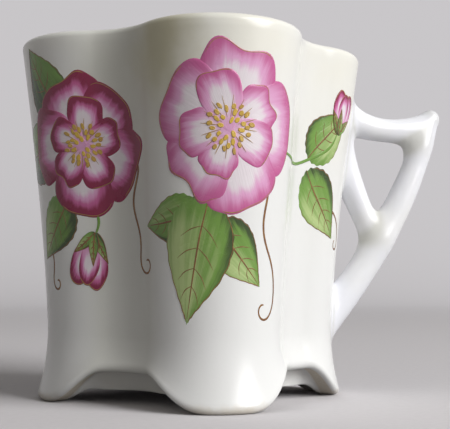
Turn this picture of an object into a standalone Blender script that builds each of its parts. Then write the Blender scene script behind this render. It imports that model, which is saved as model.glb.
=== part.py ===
"""A four-lobed porcelain espresso cup on four feet, with a forked handle luted to its wall.

Metres, +Z up. The cup stands on the plane z = 0 with its handle along +X. The origin is the middle
of the footprint that the cup and its handle cover together.
"""

import math

import bmesh
import bpy
from mathutils import Vector

# Cup body, measured from the plane it stands on and from its own axis
HEIGHT = 0.0600
RIM_REACH = 0.0301  # axis to the crest of a lobe at the lip
WAIST_REACH = 0.0249  # the same at the narrowest height
WAIST_HEIGHT = 0.0110
FOOT_REACH = 0.0267  # the same at the tip of a foot
WALL_SWEEP = 1.36  # 1 is a straight wall from waist to lip, more hollows it
LOBES = 4
LOBE_RADIUS = 0.0138  # arc of a lobe at the lip
VALLEY_BLEND = 0.0140  # how much two neighbouring lobes melt together
WALL = 0.0022
FLOOR = 0.0030
FLOOR_FILLET = 0.0060  # inside, between floor and wall

# Feet and the arches between them
ARCH_HEIGHT = 0.0053  # lower edge of the wall in a valley
ARCH_WIDTH = 0.0100  # level top of an arch, around the cup
FOOT_WIDTH = 0.0050  # flat pad of a foot, around the cup
FOOT_FULLNESS = 1.4  # 1 is an even curve from pad to arch, more keeps the foot wide
FOOT_DEPTH = 0.0024  # flat pad of a foot, towards the axis
FOOT_EDGE = 0.0013  # round of the wall's lower edge
BASE_REACH = 0.0205  # axis to the edge of the underside, below a lobe's crest
BASE_CLEARANCE = 0.0022  # underside above the plane the cup stands on

# Handle, in the plane y = 0
TIP_REACH = 0.0175  # tip of the handle beyond the lip
TIP_DROP = 0.0080  # top of the tip below the lip
TIP_WIDTH = 0.0034  # round knob at the tip
TIP_NECK = 0.0030  # arm and spine where they run into the knob
ARM_ROOT_DROP = 0.0091  # middle of the arm's root below the lip
ARM_SAG = 0.0032
ARM_WIDTH = 0.0049
BRACE_ROOT_DROP = 0.0130  # middle of the brace's root below the lip
BRACE_BOW = 0.0004  # towards the wall
BRACE_WIDTH = 0.0048
SPINE_ROOT_HEIGHT = 0.0110
SPINE_BOW = 0.0026  # away from the wall
SPINE_WIDTH = 0.0052
SPINE_ROOT_WIDTH = 0.0062
FORK_SHARE = 0.58  # where the brace meets the spine, from tip to root
ROOT_WIDTH = 0.0076  # arm and brace where they meet the wall
ROOT_DEPTH = 0.0022  # how far a strut's middle line runs into the wall before it is trimmed
FLARE_POWER = 5  # how late a strut widens towards its root

# Slip pads between handle and wall
SLIP_THICKNESS = 0.0008
SLIP_MARGIN = 0.0009  # slip squeezed out around a root
FIRED_GAP = 0.0003  # between two pieces that touch

# Facets
SIDES = 72  # around the body
WALL_RINGS = 9
SKIRT_RINGS = 5
ROUND_RINGS = 6  # over the lip and the inner fillet
STRUT_POINTS = 12
STRUT_BEVEL = 4
KNOB_SEGMENTS = 16
KNOB_RINGS = 10
PLUG_RINGS = 14
PLUG_SIDES = 64
WELD = 1e-6  # points this close are one
SHARP_ANGLE = math.radians(40)

# Finishes
IVORY = (0.86, 0.84, 0.79)
WHITE = (0.88, 0.88, 0.87)
SLIP = (0.84, 0.82, 0.77)
GLAZE_ROUGHNESS = 0.12
SLIP_ROUGHNESS = 0.20


def wall_reach(height):
    """Axis to the outer crest of a lobe at a height."""
    if height < WAIST_HEIGHT:
        fall = (WAIST_HEIGHT - height) / WAIST_HEIGHT
        return WAIST_REACH + (FOOT_REACH - WAIST_REACH) * fall**2
    rise = (height - WAIST_HEIGHT) / (HEIGHT - WAIST_HEIGHT)
    return WAIST_REACH + (RIM_REACH - WAIST_REACH) * rise**WALL_SWEEP


def turn_from_crest(angle):
    """Angle to the nearest lobe's crest, zero or more."""
    pitch = math.tau / LOBES
    return abs((angle + pitch / 2) % pitch - pitch / 2)


def lobe_arc(turn):
    """Distance from the axis to one lobe's arc at the lip."""
    centre = RIM_REACH - LOBE_RADIUS
    chord = LOBE_RADIUS**2 - (centre * math.sin(turn)) ** 2
    return centre * math.cos(turn) + math.sqrt(max(chord, 0.0))


def lip_radius(angle):
    """Distance from the axis to the lip's outline, with the valleys between lobes melted."""
    turn = turn_from_crest(angle)
    near = lobe_arc(turn)
    far = lobe_arc(math.tau / LOBES - turn)
    overlap = max(VALLEY_BLEND - (near - far), 0.0)
    return near + overlap**2 / (4 * VALLEY_BLEND)


def lip_normal(angle):
    """Outward normal of the lip's outline, seen from above. Lower outlines are scaled copies."""
    step = math.tau / SIDES / 100
    slope = (lip_radius(angle + step) - lip_radius(angle - step)) / (2 * step)
    radius = lip_radius(angle)
    across = Vector((math.cos(angle), math.sin(angle)))
    along = Vector((-math.sin(angle), math.cos(angle)))
    return (across * radius - along * slope).normalized()


def lobed_point(angle, reach, height, inset=0.0):
    """A point of the lobed outline whose crests reach a distance, moved in along its normal."""
    radius = lip_radius(angle) * reach / RIM_REACH
    place = Vector((math.cos(angle), math.sin(angle))) * radius - lip_normal(angle) * inset
    return Vector((place.x, place.y, height))


def arch(angle):
    """Height of the wall's lower edge: zero on a foot's pad, highest in a valley."""
    half_pad = FOOT_WIDTH / 2 / FOOT_REACH
    side = math.pi / LOBES - half_pad - ARCH_WIDTH / 2 / FOOT_REACH
    rise = min(max(turn_from_crest(angle) - half_pad, 0.0) / side, 1.0)
    return ARCH_HEIGHT * (1 - math.cos(math.pi * rise**FOOT_FULLNESS)) / 2


def shares(count):
    """Even steps from 0 to 1."""
    return [i / count for i in range(count + 1)]


def link(scene_object, collection, parent):
    """Put an object in a collection and under the cup's empty."""
    collection.objects.link(scene_object)
    scene_object.parent = parent
    return scene_object


def loft(name, sections):
    """Skin a row of closed sections with equal counts of points, and close both ends."""
    shape = bmesh.new()
    rings = [[shape.verts.new(point) for point in section] for section in sections]
    for lower, upper in zip(rings, rings[1:]):
        for i in range(len(lower)):
            shape.faces.new((lower[i - 1], lower[i], upper[i], upper[i - 1]))
    shape.faces.new(reversed(rings[0]))
    shape.faces.new(rings[-1])
    bmesh.ops.triangulate(shape, faces=shape.faces)
    bmesh.ops.recalc_face_normals(shape, faces=shape.faces)
    mesh = bpy.data.meshes.new(name)
    shape.to_mesh(mesh)
    shape.free()
    return bpy.data.objects.new(name, mesh)


def body_sections():
    """Sections of the cup from its underside, out over the feet, up the wall, over the lip and in."""
    angles = [math.tau * i / SIDES for i in range(SIDES)]
    sections = [[lobed_point(a, BASE_REACH, BASE_CLEARANCE) for a in angles]]
    for inset in (FOOT_EDGE + FOOT_DEPTH, FOOT_EDGE):
        sections.append([lobed_point(a, FOOT_REACH, arch(a), inset) for a in angles])

    for share in shares(SKIRT_RINGS):
        low = FOOT_EDGE + (WAIST_HEIGHT - FOOT_EDGE) * share
        reach = wall_reach(low)
        sections.append([lobed_point(a, reach, low + arch(a) * (1 - share)) for a in angles])

    lip_round = WALL / 2
    wall_top = HEIGHT - lip_round
    for share in shares(WALL_RINGS)[1:]:
        height = WAIST_HEIGHT + (wall_top - WAIST_HEIGHT) * share
        sections.append([lobed_point(a, wall_reach(height), height) for a in angles])

    for share in shares(ROUND_RINGS)[1:]:
        height = wall_top + lip_round * math.sin(math.pi * share)
        inset = lip_round * (1 - math.cos(math.pi * share))
        sections.append([lobed_point(a, wall_reach(wall_top), height, inset) for a in angles])

    floor_top = BASE_CLEARANCE + FLOOR
    wall_foot = floor_top + FLOOR_FILLET
    for share in shares(WALL_RINGS)[1:]:
        height = wall_top + (wall_foot - wall_top) * share
        reach = wall_reach(max(height, WAIST_HEIGHT))
        sections.append([lobed_point(a, reach, height, WALL) for a in angles])

    foot_reach = wall_reach(max(wall_foot, WAIST_HEIGHT))
    for share in shares(ROUND_RINGS)[1:]:
        height = wall_foot - FLOOR_FILLET * math.sin(math.pi / 2 * share)
        pull = 1 - FLOOR_FILLET * (1 - math.cos(math.pi / 2 * share)) / (foot_reach - WALL)
        ring = [lobed_point(a, foot_reach, height, WALL) for a in angles]
        sections.append([Vector((p.x * pull, p.y * pull, p.z)) for p in ring])
    return sections


def lobe_plug(name, clearance):
    """The solid inside the handle-side lobe, grown by a clearance all round."""
    sections = []
    for share in shares(PLUG_RINGS):
        height = HEIGHT * share
        scale = wall_reach(height) / RIM_REACH
        centre = (RIM_REACH - LOBE_RADIUS) * scale
        radius = LOBE_RADIUS * scale + clearance
        turns = [math.tau * i / PLUG_SIDES for i in range(PLUG_SIDES)]
        sections.append(
            [Vector((centre + radius * math.cos(t), radius * math.sin(t), height)) for t in turns]
        )
    return loft(name, sections)


def bowed_point(start, end, bow, share):
    """A point part of the way along a line in the plane y = 0 that bows to its right."""
    way = end - start
    side = Vector((way.z, 0, -way.x)).normalized()
    return start + way * share + side * bow * 4 * share * (1 - share)


def bowed_line(start, end, bow):
    """Points along such a line."""
    return [bowed_point(start, end, bow, share) for share in shares(STRUT_POINTS)]


def strut(name, line, start_width, width, end_width, margin=0.0):
    """A round bar along a line, with its own width at both ends and between them."""
    curve = bpy.data.curves.new(name, "CURVE")
    curve.dimensions = "3D"
    curve.bevel_depth = 0.5  # so that a point's radius is the bar's full width there
    curve.bevel_resolution = STRUT_BEVEL
    curve.use_fill_caps = True
    spline = curve.splines.new("POLY")
    spline.points.add(len(line) - 1)
    for point, place, share in zip(spline.points, line, shares(STRUT_POINTS)):
        flare_in = (start_width - width) * (1 - share) ** FLARE_POWER
        flare_out = (end_width - width) * share**FLARE_POWER
        point.co = (*place, 1.0)
        point.radius = width + flare_in + flare_out + 2 * margin
    return solid_from(bpy.data.objects.new(name, curve))


def solid_from(source):
    """A closed mesh object from a curve object, which is removed."""
    bpy.context.scene.collection.objects.link(source)
    depsgraph = bpy.context.evaluated_depsgraph_get()
    mesh = bpy.data.meshes.new_from_object(source.evaluated_get(depsgraph))
    name = source.name
    bpy.data.objects.remove(source)
    shape = bmesh.new()
    shape.from_mesh(mesh)
    bmesh.ops.remove_doubles(shape, verts=shape.verts, dist=WELD)
    bmesh.ops.triangulate(shape, faces=shape.faces)
    bmesh.ops.recalc_face_normals(shape, faces=shape.faces)
    shape.to_mesh(mesh)
    shape.free()
    mesh.name = name
    return bpy.data.objects.new(name, mesh)


def ball(name, place, diameter):
    """A round ball."""
    shape = bmesh.new()
    bmesh.ops.create_uvsphere(shape, u_segments=KNOB_SEGMENTS, v_segments=KNOB_RINGS, radius=diameter / 2)
    bmesh.ops.translate(shape, verts=shape.verts, vec=place)
    bmesh.ops.triangulate(shape, faces=shape.faces)
    mesh = bpy.data.meshes.new(name)
    shape.to_mesh(mesh)
    shape.free()
    return bpy.data.objects.new(name, mesh)


def root(height):
    """Inner end of a strut, inside the wall below a lobe's crest."""
    return Vector((wall_reach(height) - ROOT_DEPTH, 0, height))


def handle_tip():
    """Middle of the knob at the handle's tip."""
    return Vector((RIM_REACH + TIP_REACH - TIP_WIDTH / 2, 0, HEIGHT - TIP_DROP - TIP_WIDTH / 2))


def handle_lines():
    """Middle lines of the arm, the spine and the brace."""
    tip = handle_tip()
    spine_root = root(SPINE_ROOT_HEIGHT)
    fork = bowed_point(tip, spine_root, -SPINE_BOW, FORK_SHARE)
    return {
        "arm": bowed_line(root(HEIGHT - ARM_ROOT_DROP), tip, ARM_SAG),
        "spine": bowed_line(tip, spine_root, -SPINE_BOW),
        "brace": bowed_line(root(HEIGHT - BRACE_ROOT_DROP), fork, BRACE_BOW),
    }


def handle_struts(prefix, margin):
    """The three bars of the handle, each grown by a margin."""
    lines = handle_lines()
    return {
        "arm": strut(prefix + "_arm", lines["arm"], ROOT_WIDTH, ARM_WIDTH, TIP_NECK, margin),
        "spine": strut(prefix + "_spine", lines["spine"], TIP_NECK, SPINE_WIDTH, SPINE_ROOT_WIDTH, margin),
        "brace": strut(prefix + "_brace", lines["brace"], ROOT_WIDTH, BRACE_WIDTH, BRACE_WIDTH, margin),
    }


def boolean(target, operation, other):
    """Add one live Boolean with another closed object. The struts share their end points, which
    the exact solver leaves open."""
    step = target.modifiers.new(operation.title() + " " + other.name, "BOOLEAN")
    step.operation = operation
    step.solver = "MANIFOLD"
    step.object = other


def glazed(name, colour, roughness):
    """A plain glazed finish."""
    material = bpy.data.materials.new(name)
    material.use_nodes = True
    shader = material.node_tree.nodes["Principled BSDF"]
    shader.inputs["Base Color"].default_value = (*colour, 1.0)
    shader.inputs["Roughness"].default_value = roughness
    shader.inputs["Metallic"].default_value = 0.0
    return material


def finish(scene_object, material):
    """Give a part its material and smooth shading with crisp edges kept."""
    scene_object.data.materials.append(material)
    scene_object.data.shade_smooth()
    scene_object.data.set_sharp_from_angle(angle=SHARP_ANGLE)


def as_cutter(scene_object):
    """Mark an object as a construction shape."""
    scene_object.hide_render = True
    scene_object.display_type = "WIRE"
    return scene_object


def footprint_middle(parts):
    """Middle of the box that the finished parts fill, in x."""
    bpy.context.view_layer.update()
    depsgraph = bpy.context.evaluated_depsgraph_get()
    places = []
    for part in parts:
        mesh = part.evaluated_get(depsgraph).to_mesh()
        places.extend((part.matrix_world @ vertex.co).x for vertex in mesh.vertices)
    return (min(places) + max(places)) / 2


def main():
    for old in list(bpy.data.objects):
        bpy.data.objects.remove(old)
    parts = bpy.data.collections.new("espresso_cup")
    cutters = bpy.data.collections.new("espresso_cup_cutters")
    bpy.context.scene.collection.children.link(parts)
    bpy.context.scene.collection.children.link(cutters)
    cup_axis = bpy.data.objects.new("cup_axis", None)
    parts.objects.link(cup_axis)

    body = link(loft("cup_body", body_sections()), parts, cup_axis)

    pad_inner = lobe_plug("pad_inner_plug", FIRED_GAP)
    pad_outer = lobe_plug("pad_outer_plug", FIRED_GAP + SLIP_THICKNESS)
    handle_plug = lobe_plug("handle_plug", 2 * FIRED_GAP + SLIP_THICKNESS)
    bars = handle_struts("handle", 0.0)
    collars = handle_struts("slip", SLIP_MARGIN)
    knob = ball("handle_knob", handle_tip(), TIP_WIDTH)
    for cutter in (pad_inner, pad_outer, handle_plug, bars["spine"], bars["brace"], knob, collars["brace"]):
        link(as_cutter(cutter), cutters, cup_axis)

    handle = link(bars["arm"], parts, cup_axis)
    handle.name = "handle"
    for bar in (bars["spine"], bars["brace"], knob):
        boolean(handle, "UNION", bar)
    boolean(handle, "DIFFERENCE", handle_plug)

    upper_joint = link(collars["arm"], parts, cup_axis)
    upper_joint.name = "upper_slip_joint"
    boolean(upper_joint, "UNION", collars["brace"])
    lower_joint = link(collars["spine"], parts, cup_axis)
    lower_joint.name = "lower_slip_joint"
    for joint in (upper_joint, lower_joint):
        boolean(joint, "INTERSECT", pad_outer)
        boolean(joint, "DIFFERENCE", pad_inner)

    finish(body, glazed("Ivory glazed porcelain", IVORY, GLAZE_ROUGHNESS))
    finish(handle, glazed("White glazed porcelain", WHITE, GLAZE_ROUGHNESS))
    finish(upper_joint, glazed("Upper joint slip", SLIP, SLIP_ROUGHNESS))
    finish(lower_joint, glazed("Lower joint slip", SLIP, SLIP_ROUGHNESS))

    cup_axis.location.x = -footprint_middle((body, handle))
    bpy.context.view_layer.update()


main()
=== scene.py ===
"""Looks of a four-lobed porcelain espresso cup with a forked handle and a painted spray of briar roses.

Metres, +Z up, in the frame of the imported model, with the handle along +X. The painting is drawn flat, as
distance along the lip from the front lobe's crest, height, and lift off the wall, and is then wrapped on
the wall.
"""

import math
import random

import bpy
from bpy.props import FloatProperty, FloatVectorProperty, IntProperty, PointerProperty
from mathutils import Matrix, Vector


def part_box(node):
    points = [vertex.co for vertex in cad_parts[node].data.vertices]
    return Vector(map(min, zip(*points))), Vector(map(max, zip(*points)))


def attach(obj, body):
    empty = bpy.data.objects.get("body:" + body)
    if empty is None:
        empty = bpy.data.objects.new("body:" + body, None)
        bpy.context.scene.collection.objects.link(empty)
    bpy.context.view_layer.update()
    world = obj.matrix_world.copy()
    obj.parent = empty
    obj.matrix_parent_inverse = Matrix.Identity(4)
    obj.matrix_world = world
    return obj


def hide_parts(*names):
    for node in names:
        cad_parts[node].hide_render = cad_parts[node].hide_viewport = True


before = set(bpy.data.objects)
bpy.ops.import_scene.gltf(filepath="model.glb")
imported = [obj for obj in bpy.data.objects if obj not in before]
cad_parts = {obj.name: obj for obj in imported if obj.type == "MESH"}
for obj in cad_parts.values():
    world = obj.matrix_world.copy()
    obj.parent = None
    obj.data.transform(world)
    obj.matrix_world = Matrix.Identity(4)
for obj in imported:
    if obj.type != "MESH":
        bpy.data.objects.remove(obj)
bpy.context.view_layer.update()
BODY_LOW, BODY_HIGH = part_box("cup_body")
AXIS_X = (BODY_LOW.x + BODY_HIGH.x) / 2

bl_info = {
    "name": "Painted espresso cup",
    "version": (1, 0, 0),
    "blender": (4, 5, 0),
    "location": "View3D > Sidebar > Espresso cup",
    "description": "Dresses an espresso cup with glaze, enamel painting and a studio stage",
    "category": "Object",
}

PHOTO_WIDTH = 450
SENSOR_WIDTH = 36.0
VECTOR = "FLOAT_VECTOR"


# Settings


def length(name, description, default):
    """A size in metres."""
    return FloatProperty(name=name, description=description, default=default, unit="LENGTH", precision=5)


def share(name, description, default):
    """A plain number."""
    return FloatProperty(name=name, description=description, default=default, precision=3)


def angle(name, description, degrees):
    """An angle, given in degrees and kept in radians."""
    return FloatProperty(name=name, description=description, default=math.radians(degrees), subtype="ANGLE")


def colour(name, description, default):
    """A colour, in linear light."""
    return FloatVectorProperty(
        name=name, description=description, default=default, size=3, min=0, max=1, subtype="COLOR"
    )


class BodySizes(bpy.types.PropertyGroup):
    """Sizes of the cup's body, from its own axis and from the plane it stands on."""

    height: length("Height", "Plane to the top of the lip", BODY_HIGH.z)
    lip_reach: length("Lip reach", "Axis to the crest of a lobe at the lip", 0.0301)
    waist_reach: length("Waist reach", "Axis to the crest of a lobe at the narrowest height", 0.0249)
    waist_height: length("Waist height", "Where the wall is narrowest", 0.0110)
    foot_reach: length("Foot reach", "Axis to the tip of a foot", 0.0267)
    wall_sweep: share("Wall sweep", "1 is a straight wall, more hollows it", 1.36)
    lobes: IntProperty(name="Lobes", description="Lobes around the cup", default=4, min=2)
    lobe_radius: length("Lobe radius", "Arc of a lobe at the lip", 0.0138)
    valley_blend: length("Valley blend", "How much two lobes melt together", 0.0140)
    wall: length("Wall", "Thickness of the wall", 0.0022)
    floor: length("Floor", "Thickness of the floor", 0.0030)
    floor_fillet: length("Floor fillet", "Round between floor and wall, inside", 0.0060)
    arch_height: length("Arch height", "Lower edge of the wall in a valley", 0.0053)
    arch_width: length("Arch width", "Level top of an arch, around the cup", 0.0100)
    foot_width: length("Foot width", "Flat pad of a foot, around the cup", 0.0050)
    foot_fullness: share("Foot fullness", "1 is an even curve up to the arch, more keeps the foot wide", 1.4)
    foot_depth: length("Foot depth", "Flat pad of a foot, towards the axis", 0.0024)
    foot_edge: length("Foot edge", "Round of the wall's lower edge", 0.0013)
    base_reach: length("Base reach", "Axis to the edge of the underside", 0.0205)
    base_clearance: length("Base clearance", "Underside above the plane", 0.0022)


class HandleSizes(bpy.types.PropertyGroup):
    """Sizes of the handle, which lies in the plane y = 0."""

    tip_reach: length("Tip reach", "Tip beyond the lip", 0.0170)
    tip_drop: length("Tip drop", "Top of the tip below the lip", 0.0080)
    tip_width: length("Tip width", "Round tip", 0.0034)
    tip_neck: length("Tip neck", "Arm and spine where they run into the tip", 0.0027)
    arm_root_drop: length("Arm root drop", "Middle of the arm's root below the lip", 0.0091)
    arm_sag: length("Arm sag", "How far the arm hangs through", 0.0027)
    arm_width: length("Arm width", "Arm between root and tip", 0.0042)
    brace_root_drop: length("Brace root drop", "Middle of the brace's root below the lip", 0.0130)
    brace_bow: length("Brace bow", "Bow of the brace towards the wall", 0.0004)
    brace_width: length("Brace width", "Brace between wall and spine", 0.0046)
    spine_root_height: length("Spine root height", "Middle of the spine's root above the plane", 0.0110)
    spine_bow: length("Spine bow", "Bow of the spine away from the wall", 0.0026)
    spine_width: length("Spine width", "Spine between tip and root", 0.0052)
    spine_root_width: length("Spine root width", "Spine where it meets the wall", 0.0060)
    fork_share: share("Fork share", "Where the brace meets the spine, from tip to root", 0.58)
    fork_gap: length("Fork gap", "End of the brace's middle line before the spine's", 0.0018)
    root_width: length("Root width", "Arm and brace where they meet the wall", 0.0074)
    root_depth: length("Root depth", "How far a bar runs into the wall", 0.0022)
    bar_fillet: length("Bar fillet", "How softly the bars run together at tip and root", 0.0024)
    corner_fillet: length("Corner fillet", "The same in the upper gap's corner, inside the tip", 0.0085)
    corner_share: share("Corner share", "Where that corner lies, from tip to root", 0.16)
    fork_fillet: length("Fork fillet", "How softly the brace runs into the spine", 0.0055)
    wall_fillet: length("Wall fillet", "How softly the handle runs into the wall", 0.0028)
    sunk_edge: length("Sunk edge", "Edge of the wall fillet below the wall's face", 0.00006)
    sunk_root: length("Sunk root", "Hidden end of the handle below the wall's face", 0.0010)
    grain: length("Grain", "Step of the handle's surface", 0.00022)


class GlazeColours(bpy.types.PropertyGroup):
    """Colours of the porcelain, some of them painted shade."""

    white: colour("White", "Glaze low on the wall and inside", (0.85, 0.855, 0.845))
    cream: colour("Cream", "Glaze towards the lip", (0.86, 0.845, 0.76))
    # Brushed ground colour and painted shade: an olive-brown patch under the lip in the left front valley
    wash_and_shade: colour("Wash", "Soft ground colour brushed in one valley, under the lip", (0.46, 0.41, 0.19))
    # Painted shade with a little glaze pooling: grey-olive in the valleys and the handle's fillets
    pooled_glaze_and_shade: colour("Pooled", "Thick glaze in the valleys", (0.56, 0.56, 0.49))
    # Beige towards the lower edge of the wall
    lower_edge_beige: colour("Thin edge", "Thin glaze on the lower edge", (0.60, 0.51, 0.38))
    bisque: colour("Bisque", "Unglazed pads of the feet", (0.72, 0.67, 0.58))
    speck: colour("Speck", "Iron specks", (0.22, 0.15, 0.09))
    handle_white: colour("Handle white", "Glaze of the handle", (0.89, 0.90, 0.95))


class PaintSizes(bpy.types.PropertyGroup):
    """Sizes of the enamel painting."""

    crown: length("Crown", "Enamel above the wall", 0.00003)
    layer_step: length("Layer step", "One painted layer above the next", 0.000012)
    sink: length("Sink", "Hidden edge of the enamel below the wall's face", 0.00005)
    pen_width: length("Pen width", "Half width of a full pen line", 0.00018)
    pen_relief: share("Pen relief", "Height of a pen line as a share of its half width", 0.08)
    pen_step: length("Pen step", "Length of one piece of a pen line", 0.00032)


class PaintColours(bpy.types.PropertyGroup):
    """Colours of the enamel painting."""

    blush: colour("Blush", "Palest part of a petal", (0.83, 0.76, 0.80))
    pink: colour("Pink", "Light part of a petal", (0.75, 0.38, 0.61))
    magenta: colour("Magenta", "Full part of a petal", (0.56, 0.12, 0.31))
    crimson: colour("Crimson", "Dark edge of a petal", (0.25, 0.012, 0.060))
    leaf_light: colour("Leaf light", "Light part of a leaf", (0.47, 0.59, 0.25))
    leaf_green: colour("Leaf green", "Middle part of a leaf", (0.17, 0.32, 0.060))
    leaf_dark: colour("Leaf dark", "Shaded part of a leaf", (0.045, 0.075, 0.022))
    pen: colour("Pen", "Brown pen line", (0.20, 0.085, 0.035))
    gold: colour("Gold", "Thin part of a pen line", (0.46, 0.27, 0.08))
    stamen: colour("Stamen", "Stamens", (0.74, 0.50, 0.07))


class StageSizes(bpy.types.PropertyGroup):
    """Camera and light."""

    azimuth: angle("Azimuth", "Camera's turn", -14.58)
    elevation: angle("Elevation", "Camera's rise", -3.44)
    roll: angle("Roll", "Camera's roll", 0.384)
    distance: length("Distance", "Camera to the point it looks at", 0.16875)
    target: FloatVectorProperty(
        name="Target", description="Point in the middle of the picture, from the cup's axis",
        default=(0.003315, -0.009266, 0.0310), size=3, subtype="XYZ", unit="LENGTH",
    )
    focal_pixels: share("Focal length", "In pixels of the photograph", 1007.0)
    paper: colour("Paper", "Floor and backdrop", (0.73, 0.71, 0.73))
    bounce: share("Bounce", "Share of the paper's light that falls back on the cup", 0.40)
    daylight: share("Daylight", "Strength of the even light", 0.25)
    window_power: FloatProperty(
        name="Window", description="Power of the window light", default=18.4, unit="POWER"
    )


class CupSettings(bpy.types.PropertyGroup):
    """All settings of the cup."""

    body: PointerProperty(type=BodySizes)
    handle: PointerProperty(type=HandleSizes)
    glaze: PointerProperty(type=GlazeColours)
    paint: PointerProperty(type=PaintSizes)
    paint_colours: PointerProperty(type=PaintColours)
    stage: PointerProperty(type=StageSizes)


def values_of(group):
    """The values of a settings group by their display names."""
    skipped = ("rna_type", "name")
    listed = [item for item in group.bl_rna.properties if item.identifier not in skipped]
    return {item.name: getattr(group, item.identifier) for item in listed}


# Node trees


class Wire:
    """An output of a node. Plain signs on it make further nodes in its tree."""

    def __init__(self, socket):
        self.socket = socket
        self.tree = socket.id_data

    def __add__(self, other):
        return calc("ADD", self, other)

    def __sub__(self, other):
        return calc("SUBTRACT", self, other)

    def __rsub__(self, other):
        return calc("SUBTRACT", other, self)

    def __mul__(self, other):
        return calc("MULTIPLY", self, other)

    def __truediv__(self, other):
        return calc("DIVIDE", self, other)

    def __mod__(self, other):
        return calc("MODULO", self, other)

    def __pow__(self, other):
        return calc("POWER", self, other)

    def __neg__(self):
        return self * -1


def connect(value, socket):
    """Link a wire to a socket, or set the socket's value."""
    if isinstance(value, Wire):
        value.tree.links.new(value.socket, socket)
    else:
        socket.default_value = value


def add_node(kind, inputs=(), tree=None, **options):
    """Add a node, set its options, and link or set its inputs by name or number. Its tree is that of the
    first wire it is given, unless one is named."""
    inputs = dict(inputs)
    if tree is None:
        tree = next(value.tree for value in inputs.values() if isinstance(value, Wire))
    node = tree.nodes.new(kind)
    for option, value in options.items():
        setattr(node, option, value)
    for key, value in inputs.items():
        connect(value, node.inputs[key])
    return node


def add(kind, inputs=(), out=0, tree=None, **options):
    """Add a node and give one of its outputs."""
    return Wire(add_node(kind, inputs, tree, **options).outputs[out])


def wires(node):
    """All outputs of a node by name."""
    return {socket.name: Wire(socket) for socket in node.outputs}


def calc(operation, *values):
    """One sum."""
    return add("ShaderNodeMath", enumerate(values), operation=operation)


def lerp(factor, low, high):
    """A number between two others."""
    return factor * (high - low) + low


def combine(x, y, z):
    """A vector from three numbers."""
    return add("ShaderNodeCombineXYZ", enumerate((x, y, z)))


def separate(vector):
    """The three numbers of a vector."""
    return [Wire(socket) for socket in add_node("ShaderNodeSeparateXYZ", {0: vector}).outputs]


def scaled(vector, factor):
    """A vector times a number."""
    return add("ShaderNodeVectorMath", {0: vector, "Scale": factor}, operation="SCALE")


def summed(*vectors):
    """The sum of some vectors."""
    total = vectors[0]
    for vector in vectors[1:]:
        total = add("ShaderNodeVectorMath", {0: total, 1: vector}, operation="ADD")
    return total


def size_of(vector):
    """Length of a vector."""
    return add("ShaderNodeVectorMath", {0: vector}, "Value", operation="LENGTH")


def named(tree, name, kind="FLOAT"):
    """A named attribute of the geometry."""
    return add("GeometryNodeInputNamedAttribute", {"Name": name}, "Attribute", tree, data_type=kind)


def position(tree):
    """The place of each point."""
    return add("GeometryNodeInputPosition", tree=tree)


def sampled(geometry, value, index, kind="FLOAT"):
    """A value at a numbered point of another geometry."""
    inputs = {"Geometry": geometry, "Value": value, "Index": index}
    return add("GeometryNodeSampleIndex", inputs, "Value", data_type=kind, domain="POINT")


def stored(geometry, name, value, kind="FLOAT"):
    """Geometry with a value kept on its points."""
    inputs = {"Geometry": geometry, "Name": name, "Value": value}
    return add("GeometryNodeStoreNamedAttribute", inputs, data_type=kind, domain="POINT")


def moved(geometry, places):
    """Geometry with its points put elsewhere."""
    return add("GeometryNodeSetPosition", {"Geometry": geometry, "Position": places})


def drawn_object(scene_object):
    """The geometry of an object that is given to the tree."""
    return add("GeometryNodeObjectInfo", {"Object": scene_object}, "Geometry")


def new_tree(name, kind, inputs, outputs):
    """A node tree with named inputs and outputs, and its input wires by name."""
    tree = bpy.data.node_groups.new(name, kind)
    for side, sockets in (("OUTPUT", outputs), ("INPUT", inputs)):
        for label, socket in sockets.items():
            tree.interface.new_socket(label, in_out=side, socket_type="NodeSocket" + socket)
    return tree, wires(add_node("NodeGroupInput", tree=tree))


def geometry_tree(name, inputs):
    """A geometry node tree with named inputs."""
    return new_tree(name, "GeometryNodeTree", inputs, {"Geometry": "Geometry"})


def close_tree(geometry, material):
    """End a tree with plain geometry, smooth shading and its material."""
    whole = add("GeometryNodeRealizeInstances", {"Geometry": geometry})
    shaded = add("GeometryNodeSetShadeSmooth", {"Geometry": whole, "Shade Smooth": True})
    dressed = add("GeometryNodeSetMaterial", {"Geometry": shaded, "Material": material})
    add_node("NodeGroupOutput", {0: dressed})
    return geometry.tree


def grown(name, tree, values):
    """Run a tree, and keep what it makes as a plain mesh at the origin."""
    host = bpy.data.objects.new(name + "_host", bpy.data.meshes.new(name + "_host"))
    bpy.context.scene.collection.objects.link(host)
    step = host.modifiers.new(tree.name, "NODES")
    step.node_group = tree
    for item in tree.interface.items_tree:
        if item.in_out == "INPUT" and item.name in values:
            step[item.identifier] = values[item.name]
    depsgraph = bpy.context.evaluated_depsgraph_get()
    mesh = bpy.data.meshes.new_from_object(
        host.evaluated_get(depsgraph), preserve_all_data_layers=True, depsgraph=depsgraph
    )
    host.modifiers.remove(step)
    bpy.data.objects.remove(host)
    mesh.name = name
    piece = bpy.data.objects.new(name, mesh)
    bpy.context.scene.collection.objects.link(piece)
    return piece


def guide(name, points, edges=(), faces=(), **attributes):
    """An object that a tree reads, with numbers or vectors kept on its points. It is removed later."""
    mesh = bpy.data.meshes.new(name)
    mesh.from_pydata([tuple(point) for point in points], list(edges), list(faces))
    for label, numbers in attributes.items():
        if isinstance(numbers[0], (int, float)):
            mesh.attributes.new(label, "FLOAT", "POINT").data.foreach_set("value", numbers)
        else:
            flat = [number for vector in numbers for number in vector]
            mesh.attributes.new(label, VECTOR, "POINT").data.foreach_set("vector", flat)
    return bpy.data.objects.new(name, mesh)


def discard(*guides):
    """Remove guides that have been read."""
    for scene_object in guides:
        bpy.data.objects.remove(scene_object)


def shares(count):
    """Even steps from 0 to 1."""
    return [i / count for i in range(count + 1)]


# The wall's rule

WALL_SIZES = ("Height", "Lip reach", "Waist reach", "Waist height", "Foot reach", "Wall sweep")
OUTLINE_POINTS = 320
NORMAL_STEP = 0.001


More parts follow.
